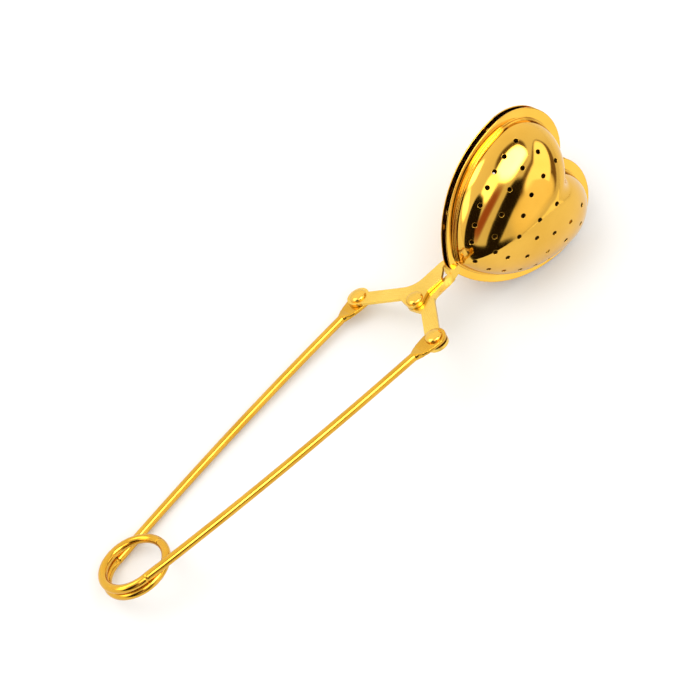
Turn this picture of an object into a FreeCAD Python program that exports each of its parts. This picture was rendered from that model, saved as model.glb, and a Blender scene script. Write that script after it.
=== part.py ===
"""Heart tea infuser tongs: a spring-wire handle, two flat levers and two perforated half shells.

The model is drawn in a working frame: the middle rivet is at the origin, +X points at the
heart, +Y is the side of the left leg, and +Z is square to the plane of the levers.
At the end everything is laid down on the table by one turn and one shift.
Millimetres throughout.
"""
import FreeCAD
import Part
import math
import os

V3 = FreeCAD.Vector

# spring-wire handle
WIRE_D = 2.45            # wire diameter
COIL_X = -104.0          # coil axis, behind the middle rivet
COIL_R = 8.9             # mean radius of the coil
COIL_PITCH = 2.65        # rise of the coil per turn
LEG_GAP = 0.1            # hairline between a leg and the coil it grows out of
LEG_BOW = 3.2            # how far a leg leans outwards where it leaves the coil, degrees
PADDLE_T = 1.1           # thickness of the flattened leg ends
PADDLE_R = 3.3           # radius of the round eye of a leg end
PADDLE_L = 7.5           # length of the flattened part

# levers
PIN_X = -7.3             # outer rivets, behind the middle rivet
PIN_Y = 17.5             # outer rivets, to each side of the middle rivet
LEVER_T = 1.0            # sheet thickness of the levers
LEVER_GAP = 0.05         # half of the play between the two levers
ARM_LEAN = 34.1          # lean of the handle arms from square to the middle line, degrees
ARM_IN = 0.83            # inner edge of a handle arm, off the middle rivet
ARM_OUT = 5.08           # outer edge of a handle arm, off the middle rivet
JAW_IN = 1.2             # left jaw arm: reach across the middle line
JAW_LEFT = 4.05          # left jaw arm: outer edge
JAW_RIGHT = 3.65         # right jaw arm: outer edge
BEND_LEFT = 6.5          # rounding between the two arms of the left lever
BEND_RIGHT = 2.5         # rounding between the two arms of the right lever
EAR_R = 3.2              # radius of the eyes at the outer rivets
HUB_R = 2.75             # radius of the eyes at the middle rivet

# rivets
SHAFT_R = 1.2            # outer rivets
PIVOT_R = 1.0            # middle rivet
HEAD_R = 2.4             # domed heads
HEAD_H = 1.1             # height of the domed heads
TAIL_R = 2.15            # formed tails
TAIL_H = 0.7             # height of the formed tails
RUN_FIT = 0.06           # radial running clearance
PIVOT_PLAY = 0.65        # extra radius of the right lever's hole at the middle rivet
PADDLE_LIFT = 0.6        # play between the right leg end and its lever

# half shells
SHEET_T = 0.4            # sheet thickness
FRONT_Y = -0.80          # outer face of the front flange
BACK_Y = 1.85            # outer face of the back flange
SHELL_SKEW = 3.1         # the shells sit slightly out of square on their arms, degrees
HEART_C = 44.0           # centre of the heart along X
RIM_LOBE = (46.3, 9.8, 14.7)    # rim lobe: centre x, centre z, radius
FOOT_LOBE = (45.9, 9.8, 12.2)   # foot of the dome: lobe centre x, centre z, radius
RIM_SIDE_R = 34.0        # radius of the long sides of the rim
FOOT_SIDE_R = 31.4       # radius of the long sides of the foot
RIM_TIP_R = 4.6          # radius of the tip of the rim
FOOT_TIP_R = 2.6         # radius of the tip of the foot
SIDE_LEAN = 2.0          # lean of the joint between lobe and side, degrees
STEP_H = 0.7             # low step around the foot of the dome
STEP_W = 0.4             # width of that step
DOME_H = 12.0            # height of the dome above the step
DOME_POWER = 0.55        # roundness of the dome
DOME_RINGS = (1.0, 0.985, 0.94, 0.87, 0.78, 0.66, 0.52, 0.37, 0.2)
HOLE_R = 0.65            # perforations

# perforations: share of the way to the foot of the dome, and direction in degrees from the
# cleft; every hole off the middle line has a twin on the other lobe
PERFORATIONS = (
    (0.915, 180.0), (0.92, 166.8), (0.90, 155.4), (0.888, 141.3), (0.88, 127.1), (0.886, 113.5),
    (0.89, 99.0), (0.905, 83.0), (0.975, 34.8),
    (0.735, 180.0), (0.722, 167.0), (0.67, 148.7), (0.672, 122.7), (0.678, 96.6), (0.70, 72.0),
    (0.48, 180.0), (0.424, 154.7), (0.403, 120.1), (0.428, 81.6), (0.586, 50.7),
    (0.228, 180.0), (0.004, 0.0),
)

# how the tongs lie on the table
REST_ROLL = -40.25          # turn about the long axis, degrees
REST_PITCH = -3.60         # turn about the cross axis, degrees
REST_SHIFT = (26.10, -1.73, 15.26)   # where the middle rivet then lies


def prism(points, z0, z1):
    """Upright prism over a polygon in the lever plane."""
    corners = [V3(x, y, z0) for x, y in points]
    wire = Part.makePolygon(corners + [corners[0]])
    return Part.Face(wire).extrude(V3(0, 0, z1 - z0))


def disc(x, y, r, z0, z1):
    """Round plate or hole in the lever plane."""
    return Part.makeCylinder(r, z1 - z0, V3(x, y, z0), V3(0, 0, 1))


def leg_line(side):
    """Point where a leg leaves the coil, its angle about the coil, and the leg's rivet."""
    run = PIN_X - COIL_X
    reach = math.hypot(run, PIN_Y)
    angle = math.atan2(PIN_Y, run) + math.acos(COIL_R / reach) + math.radians(LEG_BOW)
    start = V3(COIL_X + COIL_R * math.cos(angle), side * COIL_R * math.sin(angle), 0)
    end = V3(PIN_X, side * PIN_Y, 0)
    return start, math.degrees(angle), end


def coil_rise():
    """Height that the coil climbs from the left leg to the right leg."""
    return COIL_PITCH * (720.0 - 2.0 * leg_line(1)[1]) / 360.0


def make_coil():
    """One and a half turns of wire, climbing from the left leg to the right leg."""
    start_angle = leg_line(1)[1]
    rise = coil_rise()
    spine = Part.makeHelix(COIL_PITCH, rise, COIL_R)
    start = V3(COIL_R, 0, 0)
    heading = V3(0, 2 * math.pi * COIL_R, COIL_PITCH)
    ring = Part.Wire(Part.makeCircle(WIRE_D / 2, start, heading))
    coil = Part.Wire(spine.Edges).makePipeShell([ring], True, True)
    coil.rotate(V3(0, 0, 0), V3(0, 0, 1), start_angle)
    coil.translate(V3(COIL_X, 0, -rise / 2))
    return coil


def make_leg(side, paddle_z):
    """Wire leg, slightly bowed outwards, with a flattened and pierced end."""
    start, angle, end = leg_line(side)
    start.z = -side * coil_rise() / 2
    end.z = paddle_z
    bow = math.radians(angle - 90.0) - math.atan2(PIN_Y - abs(start.y), PIN_X - start.x)
    chord = end - start
    radius = chord.Length / (2 * math.sin(bow))
    middle = start + chord * 0.5
    chord.normalize()
    out = V3(0, side, 0) - chord * (side * chord.y)
    out.normalize()
    centre = middle - out * (radius * math.cos(bow))

    def at(turn):
        return out * math.cos(turn) + chord * math.sin(turn)

    first = -bow + LEG_GAP / radius
    last = bow - PADDLE_L / radius
    heading = at(first + math.pi / 2)
    ring = Part.makeCircle(WIRE_D / 2, centre + at(first) * radius, heading)
    wire = Part.Face(Part.Wire(ring)).revolve(centre, out.cross(chord), math.degrees(last - first))
    neck = centre + at(last) * radius
    along = at(last + math.pi / 2)
    flat = V3(end.x - neck.x, end.y - neck.y, 0)
    flat.normalize()
    taper = Part.makeCone(WIRE_D / 2, PADDLE_T * 0.3, PADDLE_L - PADDLE_R - 1.5, neck, along)
    z0 = paddle_z - PADDLE_T / 2
    z1 = paddle_z + PADDLE_T / 2
    eye = disc(end.x, end.y, PADDLE_R, z0, z1)
    across = V3(-flat.y, flat.x, 0)
    widths = ((1.0, WIRE_D / 2), (0.79, 2.1), (0.6, 2.65), (0.33, 3.05), (0.0, 3.2))
    spine = [(end - flat * (PADDLE_L * share), width) for share, width in widths]
    outline = [p + across * w for p, w in spine]
    outline += [p - across * w for p, w in reversed(spine)]
    blade = prism([(p.x, p.y) for p in outline], z0, z1)
    leg = wire.fuse([taper, blade, eye])
    hole = disc(end.x, end.y, SHAFT_R + RUN_FIT, z0 - 1, z1 + 1)
    return leg.cut(hole).removeSplitter()


def arm_frame():
    """Direction of the left handle arm towards the middle rivet, and its outward normal."""
    lean = math.radians(ARM_LEAN)
    return (math.sin(lean), -math.cos(lean)), (math.cos(lean), math.sin(lean))


def on_arm(offset, y):
    """Point at a height y on a line along the handle arm, at an offset from the middle rivet."""
    _, (nx, ny) = arm_frame()
    return ((offset - ny * y) / nx, y)


def lever_blank(z0, z1, jaw_y, bend_r):
    """What both levers share: eye, handle arm, hub and rounded corner, drawn on the left side."""
    (ux, uy), (nx, ny) = arm_frame()
    level = nx * PIN_X + ny * PIN_Y
    first_in = (PIN_X + (ARM_IN - level) * nx, PIN_Y + (ARM_IN - level) * ny)
    first_out = (PIN_X + (ARM_OUT - level) * nx, PIN_Y + (ARM_OUT - level) * ny)
    corner = on_arm(ARM_OUT, jaw_y)
    arm = prism([first_in, first_out, corner, (corner[0], -0.5), (0, -0.5), (-HUB_R + 0.03, 0.3),
                 (-2.45, 2.3), on_arm(ARM_IN, 4.4)], z0, z1)
    tangent = bend_r * math.tan(math.acos(ux) / 2)
    first = (corner[0] - tangent * ux, corner[1] - tangent * uy)
    last = (corner[0] + tangent, corner[1])
    filler = prism([first, last, (last[0], last[1] - 1.0), (corner[0] - 1.0, corner[1] - 1.0),
                    (first[0] - nx, first[1] - ny)], z0, z1)
    filler = filler.cut(disc(last[0], jaw_y + bend_r, bend_r, z0 - 1, z1 + 1))
    eye = disc(PIN_X, PIN_Y, EAR_R, z0, z1)
    hub = disc(0, 0, HUB_R, z0, z1)
    return arm.fuse([eye, hub, filler])


def make_left_lever():
    """Upper lever: wide jaw arm, folded down behind the back flange."""
    z0, z1 = LEVER_GAP, LEVER_GAP + LEVER_T
    edge_y = BACK_Y + 0.02
    jaw = prism([(0, 0), (1.6, -2.23), (2.75, -1.65), (3.9, -JAW_IN), (9.1, -JAW_IN), (11.4, 0.7),
                 (12.4, edge_y), (15.2, edge_y), (15.2, JAW_LEFT - 0.6), (13.2, JAW_LEFT - 0.15),
                 (8.5, JAW_LEFT), (0, JAW_LEFT)], z0, z1)
    tab = Part.makeBox(2.7, 1.0, 3.4, V3(12.5, edge_y, z1 - 3.4))
    lever = lever_blank(z0, z1, JAW_LEFT, BEND_LEFT).fuse([jaw, tab])
    holes = disc(0, 0, PIVOT_R, z0 - 1, z1 + 1).fuse(disc(PIN_X, PIN_Y, SHAFT_R, z0 - 1, z1 + 1))
    return lever.cut(holes).removeSplitter()


def fold_section(x, inner, fold, turn, reach):
    """Cross-section square to X of a strip whose outer side is folded down by an angle."""
    a = math.radians(turn)
    top = -LEVER_GAP
    low = top - LEVER_T
    tip = (fold - reach * math.cos(a), top - reach * math.sin(a))
    corners = [(inner, top), (fold, top), tip,
               (tip[0] + LEVER_T * math.sin(a), tip[1] - LEVER_T * math.cos(a)),
               (fold + LEVER_T * math.tan(a / 2), low), (inner, low)]
    points = [V3(x, y, z) for y, z in corners]
    return Part.makePolygon(points + [points[0]])


def make_right_lever():
    """Lower lever: the outer side of its jaw arm folds down and ends in a tab on the front flange."""
    z0, z1 = -LEVER_GAP - LEVER_T, -LEVER_GAP
    blank = lever_blank(z0, z1, JAW_RIGHT, BEND_RIGHT).mirror(V3(0, 0, 0), V3(0, 1, 0))
    jaw = prism([(0, 0.5), (4.0, -0.2), (4.0, -JAW_RIGHT), (0, -JAW_RIGHT)], z0, z1)
    tab_y = FRONT_Y - 0.02
    sections = [fold_section(4.0, -0.2, -2.6, 1.0, JAW_RIGHT - 2.6),
                fold_section(6.0, -0.35, -2.3, 22.0, 1.3),
                fold_section(8.0, -0.45, -2.0, 46.0, 1.75),
                fold_section(10.0, -0.52, -1.8, 68.0, 2.05),
                fold_section(12.3, tab_y, tab_y - LEVER_T, 84.0, 2.1)]
    strip = Part.makeLoft(sections, True, True)
    outline = [(11.7, -0.3), (12.5, 0.4), (14.3, 0.85), (15.0, 0.65), (15.25, 0.1), (15.15, -0.6),
               (14.6, -1.25), (13.2, -1.85), (12.2, -2.05), (11.7, -1.9)]
    corners = [V3(x, tab_y - LEVER_T, z) for x, z in outline]
    tab = Part.Face(Part.makePolygon(corners + [corners[0]])).extrude(V3(0, LEVER_T, 0))
    lever = blank.fuse([jaw, strip, tab])
    hub_hole = disc(0, 0, PIVOT_R + PIVOT_PLAY, z0 - 1, z1 + 1)
    eye_hole = disc(PIN_X, -PIN_Y, SHAFT_R, z0 - 1, z1 + 1)
    return lever.cut(hub_hole.fuse(eye_hole)).removeSplitter()


def cap(radius, height, rim, x, y, z, up):
    """Low domed head with a short upright rim."""
    ball = (radius * radius + height * height) / (2 * height)
    crown = V3(0, 0, rim + height)
    side = V3(radius * 0.6, 0, rim + height - ball + math.sqrt(ball * ball - 0.36 * radius * radius))
    edge = V3(radius, 0, rim)
    arc = Part.Arc(crown, side, edge).toShape()
    lines = Part.makePolygon([edge, V3(radius, 0, 0), V3(0, 0, 0), crown])
    profile = Part.Face(Part.Wire([arc] + lines.Edges))
    head = profile.revolve(V3(0, 0, 0), V3(0, 0, 1), 360)
    if not up:
        head.rotate(V3(0, 0, 0), V3(1, 0, 0), 180)
    head.translate(V3(x, y, z))
    return head


def make_rivet(x, y, shaft_r, head_z, tail_z):
    """Rivet with a domed head above and a smaller formed tail below."""
    shaft = disc(x, y, shaft_r, tail_z - 0.05, head_z + 0.05)
    head = cap(HEAD_R, HEAD_H - 0.25, 0.25, x, y, head_z, True)
    tail = cap(TAIL_R, TAIL_H - 0.2, 0.2, x, y, tail_z, False)
    return shaft.fuse([head, tail]).removeSplitter()


def heart_wire(lobe, side_r, tip_r, scale, cleft_r, y):
    """Heart outline in a plane square to Y: cleft, two lobes, two long sides and the tip."""
    lx, lz, lr = lobe
    lean = math.radians(SIDE_LEAN)
    sx = lx - (side_r - lr) * math.sin(lean)
    sz = lz - (side_r - lr) * math.cos(lean)
    tx = sx - math.sqrt((side_r - tip_r) ** 2 - sz ** 2)
    fx = lx + math.sqrt((lr + cleft_r / scale) ** 2 - lz ** 2)
    fr = cleft_r / scale

    def place(x, z):
        return V3(HEART_C + (x - HEART_C) * scale, y, z * scale)

    def on_circle(cx, cz, r, a):
        return place(cx + r * math.cos(a), cz + r * math.sin(a))

    a_cleft = math.atan2(-lz, fx - lx)
    a_top = math.pi / 2 - lean
    a_tip = math.atan2(-sz, tx - sx)
    upper = [(lx, lz, lr, a_cleft, a_top), (sx, sz, side_r, a_top, a_tip)]
    edges = []
    for cx, cz, r, a0, a1 in upper:
        pts = [on_circle(cx, cz, r, a) for a in (a0, (a0 + a1) / 2, a1)]
        edges.append(Part.Arc(*pts).toShape())
    tip = [on_circle(tx, 0, tip_r, a) for a in (a_tip, math.pi, 2 * math.pi - a_tip)]
    edges.append(Part.Arc(*tip).toShape())
    for cx, cz, r, a0, a1 in reversed(upper):
        pts = [on_circle(cx, -cz, r, -a) for a in (a1, (a0 + a1) / 2, a0)]
        edges.append(Part.Arc(*pts).toShape())
    a_fill = math.atan2(lz, lx - fx)
    cleft = [on_circle(fx, 0, fr, a) for a in (-a_fill, math.pi, a_fill)]
    edges.append(Part.Arc(*cleft).toShape())
    return Part.Wire(edges)


def foot_wire(inset, scale, y):
    """Foot of the dome, drawn in by an inset and scaled about the centre of the heart."""
    lx, lz, lr = FOOT_LOBE
    cleft_r = 1.0 + inset + 5.0 * (1.0 - scale)
    return heart_wire((lx, lz, lr - inset), FOOT_SIDE_R - inset, FOOT_TIP_R - inset, scale, cleft_r, y)


def dome_solid(inset, y, height):
    """Closed dome rising towards -Y from a heart-shaped foot."""
    rings = []
    for share in DOME_RINGS:
        rise = height * (1.0 - share * share) ** DOME_POWER
        rings.append(foot_wire(inset, share, y - rise))
    rings.append(Part.Vertex(HEART_C, y - height, 0))
    return Part.makeLoft(rings, True, False)


def heart_plate(wire, depth):
    """Plate over a heart outline, thickened along Y."""
    return Part.Face(wire).extrude(V3(0, depth, 0))


def foot_radius(deg):
    """Distance from the centre of the heart to the dome's foot in one direction."""
    inset = STEP_W
    lx, lz, lr = FOOT_LOBE
    lr = lr - inset
    lean = math.radians(SIDE_LEAN)
    side_r = FOOT_SIDE_R - inset
    sx = lx - (side_r - lr) * math.sin(lean)
    sz = lz - (side_r - lr) * math.cos(lean)
    dx, dz = math.cos(math.radians(deg)), math.sin(math.radians(deg))

    def far_hit(cx, cz, r):
        b = dx * (cx - HEART_C) + dz * cz
        c = (cx - HEART_C) ** 2 + cz ** 2 - r * r
        return b + math.sqrt(b * b - c)

    if HEART_C + dx * far_hit(lx, lz, lr) > lx:
        return far_hit(lx, lz, lr)
    return far_hit(sx, sz, side_r)


def dome_rise(x, z):
    """Height of the dome's outer face above its foot."""
    share = math.hypot(x - HEART_C, z) / foot_radius(math.degrees(math.atan2(abs(z), x - HEART_C)))
    return DOME_H * max(1.0 - share * share, 0.0) ** DOME_POWER


def perforation_tools():
    """Punches for the perforations of the front shell, square to the dome at each hole."""
    tools = []
    top = FRONT_Y - STEP_H
    for share, deg in PERFORATIONS:
        r = share * foot_radius(deg)
        x = HEART_C + r * math.cos(math.radians(deg))
        z = r * math.sin(math.radians(deg))
        d = 0.05
        slope_x = (dome_rise(x + d, z) - dome_rise(x - d, z)) / (2 * d)
        slope_z = (dome_rise(x, z + d) - dome_rise(x, z - d)) / (2 * d)
        if deg in (0.0, 180.0):
            slope_z = 0.0
            z = 0.0
        if share < 0.3:
            slope_x = 0.0
        for twin in ((1,) if z == 0.0 else (1, -1)):
            out = V3(-slope_x, -1.0, -slope_z * twin)
            out.normalize()
            spot = V3(x, top - dome_rise(x, z), z * twin)
            tools.append(Part.makeCylinder(HOLE_R, 2.6, spot + out * 1.1, out * -1))
    return tools


def make_front_shell():
    """Half shell with a flat rim, a low step and a deep perforated dome."""
    step_y = FRONT_Y - STEP_H
    inner_step = step_y + SHEET_T
    rim = heart_plate(heart_wire(RIM_LOBE, RIM_SIDE_R, RIM_TIP_R, 1.0, 1.2, FRONT_Y), SHEET_T)
    step = heart_plate(foot_wire(0.0, 1.0, step_y), STEP_H + 0.1)
    dome = dome_solid(STEP_W, step_y, DOME_H)
    outer = rim.fuse([step, dome])
    hollow_step = heart_plate(foot_wire(SHEET_T, 1.0, inner_step), 2.0)
    hollow_dome = dome_solid(STEP_W + SHEET_T, inner_step, DOME_H)
    shell = outer.cut(hollow_step.fuse(hollow_dome))
    shell = shell.cut(Part.makeCompound(perforation_tools()))
    return shell.Solids[0] if len(shell.Solids) == 1 else shell


def make_shells():
    """Front shell and its mirror image, both turned by the same small skew."""
    front = make_front_shell()
    middle = V3(0, (FRONT_Y + BACK_Y) / 2, 0)
    back = front.mirror(middle, V3(0, 1, 0))
    for shell in (front, back):
        shell.rotate(V3(0, 0, 0), V3(0, 1, 0), -SHELL_SKEW)
    return front, back


def rest_placement():
    """Turn and shift that lay the tongs down on the table."""
    roll = FreeCAD.Rotation(V3(1, 0, 0), REST_ROLL)
    pitch = FreeCAD.Rotation(V3(0, 1, 0), REST_PITCH)
    return FreeCAD.Placement(V3(*REST_SHIFT), pitch.multiply(roll))


def build():
    """Every sub-part by name, laid down on the table."""
    lever_top = LEVER_GAP + LEVER_T
    left_paddle_z = -LEVER_GAP - PADDLE_T / 2
    right_paddle_z = -LEVER_GAP + PADDLE_LIFT + PADDLE_T / 2
    front, back = make_shells()
    parts = {
        "handle_coil": make_coil(),
        "left_leg": make_leg(1, left_paddle_z),
        "right_leg": make_leg(-1, right_paddle_z),
        "left_lever": make_left_lever(),
        "right_lever": make_right_lever(),
        "pivot_rivet": make_rivet(0, 0, PIVOT_R, lever_top, -lever_top - 0.05),
        "left_handle_rivet": make_rivet(PIN_X, PIN_Y, SHAFT_R, lever_top,
                                        left_paddle_z - PADDLE_T / 2 - 0.05),
        "right_handle_rivet": make_rivet(PIN_X, -PIN_Y, SHAFT_R, right_paddle_z + PADDLE_T / 2 + 0.04,
                                         -lever_top),
        "front_shell": front,
        "back_shell": back,
    }
    place = rest_placement()
    for shape in parts.values():
        shape.Placement = place.multiply(shape.Placement)
    return parts


def main():
    os.makedirs("parts", exist_ok=True)
    for name, shape in build().items():
        shape.exportStep("parts/" + name + ".step")
        print(name, shape.ShapeType, len(shape.Solids), shape.isValid(), round(shape.Volume, 1))


main()
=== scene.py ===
"""Looks for the heart tea infuser tongs: wire handle, levers, rivets, perforated half shells."""

import math

import bmesh
import bpy
import numpy as np
from mathutils import Matrix, Vector
from mathutils.geometry import delaunay_2d_cdt


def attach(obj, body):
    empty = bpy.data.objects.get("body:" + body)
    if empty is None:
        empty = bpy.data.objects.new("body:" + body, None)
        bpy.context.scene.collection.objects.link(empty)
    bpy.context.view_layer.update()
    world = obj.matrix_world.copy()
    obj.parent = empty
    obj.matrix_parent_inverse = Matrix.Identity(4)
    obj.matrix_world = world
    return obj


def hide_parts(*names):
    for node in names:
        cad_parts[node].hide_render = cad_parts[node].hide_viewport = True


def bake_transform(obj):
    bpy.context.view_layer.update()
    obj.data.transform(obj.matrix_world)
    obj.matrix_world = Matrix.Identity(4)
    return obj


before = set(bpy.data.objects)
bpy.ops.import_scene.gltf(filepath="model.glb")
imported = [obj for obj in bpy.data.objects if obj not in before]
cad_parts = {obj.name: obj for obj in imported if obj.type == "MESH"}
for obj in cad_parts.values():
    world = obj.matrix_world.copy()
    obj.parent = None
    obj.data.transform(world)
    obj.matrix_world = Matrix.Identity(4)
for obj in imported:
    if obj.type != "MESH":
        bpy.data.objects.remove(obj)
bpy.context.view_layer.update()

MM = 0.001

# ---------------------------------------------------------------- working frame of the tongs
# Origin at the middle rivet, +X towards the heart, +Y the left leg, +Z square to the levers.
# In the resting frame the tongs lie on the table.
ROLL = math.radians(-40.25)
PITCH = math.radians(-3.60)
PIVOT = Vector((26.10, -1.73, 15.26)) * MM          # where the middle rivet lies at rest
REST = (Matrix.Translation(PIVOT)
        @ Matrix.Rotation(PITCH, 4, "Y") @ Matrix.Rotation(ROLL, 4, "X"))
REST_NP = np.array(REST)

# ---------------------------------------------------------------- dimensions, mm
WIRE_R = 1.225
COIL_X, COIL_R, COIL_PITCH = -104.0, 8.9, 2.65
PIN_X, PIN_Y = -7.3, 17.5           # outer rivets
LEG_BOW = math.radians(3.2)         # how far a leg leans outwards where it leaves the coil
EASE_L = 6.0                        # length over which a leg loses the climb of the coil
PADDLE_T, PADDLE_R, PADDLE_L = 1.1, 3.3, 7.5        # flattened leg end
PADDLE_BEHIND = (0.0, 1.0, 2.5, 4.5, 5.9, 6.8, PADDLE_L + 0.1)  # distances behind its eye
PADDLE_HALF_W = (PADDLE_R, 3.22, 3.05, 2.65, 2.1, 1.5, WIRE_R)  # half widths there
PADDLE_POWER = 9.0                  # squareness of its section; a round wire has 2
LEVER_GAP, LEVER_T, PADDLE_LIFT = 0.05, 1.0, 0.6
LEVER_EDGE = 0.13                   # broken edges of the levers
SHAFT_R, PIVOT_R, HEAD_R, TAIL_R = 1.2, 1.0, 2.4, 2.15
RIVET_PLAY = 0.05                   # between a rivet's tail and what lies on it
LEVER_TOP = LEVER_GAP + LEVER_T
LEFT_Z = -LEVER_GAP - PADDLE_T / 2                  # middle of the left leg's end
RIGHT_Z = -LEVER_GAP + PADDLE_LIFT + PADDLE_T / 2   # middle of the right leg's end
SHEET_T, FRONT_Y, BACK_Y, SKEW = 0.4, -0.80, 1.85, math.radians(3.1)
HEART_C = 44.0                      # centre of the heart along X
RIM = dict(lobe=(46.3, 9.8, 14.7), side=34.0, tip=4.6, cleft=1.2)
FOOT = dict(lobe=(45.9, 9.8, 12.2), side=31.4, tip=2.6, cleft=1.0)
LEAN = math.radians(2.0)
CLEFT_OPENING = 5.0                 # how much wider the cleft is at the top of the dome
STEP_H, STEP_W, DOME_H, DOME_POWER, HOLE_R = 0.7, 0.4, 12.0, 0.55, 0.65
HOLE_LIP = 0.10                     # rounded lip of a perforation
# Perforations: share of the way to the foot of the dome, and direction in degrees from the
# cleft. Every hole off the middle line has a twin on the other lobe.
PERFORATIONS = (
    (0.915, 180.0), (0.92, 166.8), (0.90, 155.4), (0.888, 141.3), (0.88, 127.1), (0.886, 113.5),
    (0.89, 99.0), (0.905, 83.0), (0.975, 34.8),
    (0.735, 180.0), (0.722, 167.0), (0.67, 148.7), (0.672, 122.7), (0.678, 96.6), (0.70, 72.0),
    (0.48, 180.0), (0.424, 154.7), (0.403, 120.1), (0.428, 81.6), (0.586, 50.7),
    (0.228, 180.0), (0.004, 0.0),
)


def to_world(points):
    """Points of the working frame, mm, as an array in the resting frame, m."""
    p = np.asarray(points, float).reshape(-1, 3) * MM
    return p @ REST_NP[:3, :3].T + REST_NP[:3, 3]


def turn_world(vectors):
    """Directions of the working frame in the resting frame."""
    return np.asarray(vectors, float).reshape(-1, 3) @ REST_NP[:3, :3].T


def mesh_object(name, verts, faces, material, normals=None, uv=None):
    """Object from arrays; normals and uv are given per face corner."""
    mesh = bpy.data.meshes.new(name)
    mesh.from_pydata([tuple(v) for v in verts], [], faces)
    mesh.validate(clean_customdata=False)
    mesh.polygons.foreach_set("use_smooth", [True] * len(mesh.polygons))
    if uv is not None:
        layer = mesh.uv_layers.new(name="along")
        layer.data.foreach_set("uv", np.asarray(uv, np.float32).ravel())
    if normals is not None:
        mesh.normals_split_custom_set([tuple(n) for n in normals])
    mesh.update()
    obj = bpy.data.objects.new(name, mesh)
    bpy.context.scene.collection.objects.link(obj)
    obj.data.materials.append(material)
    return obj


# ---------------------------------------------------------------- materials
def new_material(name):
    """Material with its nodes, its links and its Principled shader."""
    mat = bpy.data.materials.new(name)
    mat.use_nodes = True
    nodes, links = mat.node_tree.nodes, mat.node_tree.links
    return mat, nodes, links, nodes["Principled BSDF"]


def ramp(nodes, low, high, dark, bright):
    """Colour ramp node between two positions."""
    node = nodes.new("ShaderNodeValToRGB")
    node.color_ramp.elements[0].position = low
    node.color_ramp.elements[1].position = high
    node.color_ramp.elements[0].color = (*dark, 1.0)
    node.color_ramp.elements[1].color = (*bright, 1.0)
    return node


def noise(nodes, links, vector, scale, detail, roughness=0.5):
    """Value of a noise texture at some coordinates."""
    node = nodes.new("ShaderNodeTexNoise")
    node.inputs["Scale"].default_value = scale
    node.inputs["Detail"].default_value = detail
    node.inputs["Roughness"].default_value = roughness
    links.new(vector, node.inputs["Vector"])
    return node.outputs["Fac"]


def bump(nodes, links, value, height, normal=None):
    """Normal of a surface that a value raises by up to a height in mm."""
    node = nodes.new("ShaderNodeBump")
    node.inputs["Strength"].default_value = 1.0
    node.inputs["Distance"].default_value = height * MM
    links.new(value, node.inputs["Height"])
    if normal is not None:
        links.new(normal, node.inputs["Normal"])
    return node.outputs["Normal"]


def grain_coordinates(nodes, links, kind, stretch, turn=0.0):
    """Coordinates for a grain that runs along a wire, along a lever or round a rivet."""
    if kind == "wire":
        uv = nodes.new("ShaderNodeUVMap")
        uv.uv_map = "along"
        split = nodes.new("ShaderNodeSeparateXYZ")
        links.new(uv.outputs["UV"], split.inputs[0])
        parts = [split.outputs[0]]
        for op in ("COSINE", "SINE"):
            node = nodes.new("ShaderNodeMath")
            node.operation = op
            links.new(split.outputs[1], node.inputs[0])
            parts.append(node.outputs[0])
        wrapped = nodes.new("ShaderNodeCombineXYZ")
        for i, out in enumerate(parts):
            links.new(out, wrapped.inputs[i])
        mapping = nodes.new("ShaderNodeMapping")
        mapping.inputs["Scale"].default_value = (stretch[0], stretch[1], stretch[1])
        links.new(wrapped.outputs[0], mapping.inputs["Vector"])
        return mapping.outputs[0]
    coord = nodes.new("ShaderNodeTexCoord")
    if kind == "turned":
        length = nodes.new("ShaderNodeVectorMath")
        length.operation = "LENGTH"
        flat = nodes.new("ShaderNodeVectorMath")
        flat.operation = "MULTIPLY"
        flat.inputs[1].default_value = (1.0, 1.0, 0.0)
        links.new(coord.outputs["Object"], flat.inputs[0])
        links.new(flat.outputs[0], length.inputs[0])
        both = nodes.new("ShaderNodeCombineXYZ")
        links.new(length.outputs["Value"], both.inputs[0])
        mapping = nodes.new("ShaderNodeMapping")
        mapping.inputs["Scale"].default_value = (stretch[0], 1.0, 1.0)
        links.new(both.outputs[0], mapping.inputs["Vector"])
        return mapping.outputs[0]
    back = nodes.new("ShaderNodeMapping")
    back.vector_type = "POINT"
    turned = (Matrix.Rotation(turn, 3, "Z") @ REST.to_3x3().inverted()).to_euler()
    back.inputs["Rotation"].default_value = turned
    links.new(coord.outputs["Object"], back.inputs["Vector"])
    mapping = nodes.new("ShaderNodeMapping")
    mapping.inputs["Scale"].default_value = (stretch[0], stretch[1], stretch[1])
    links.new(back.outputs[0], mapping.inputs["Vector"])
    return mapping.outputs[0]


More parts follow.
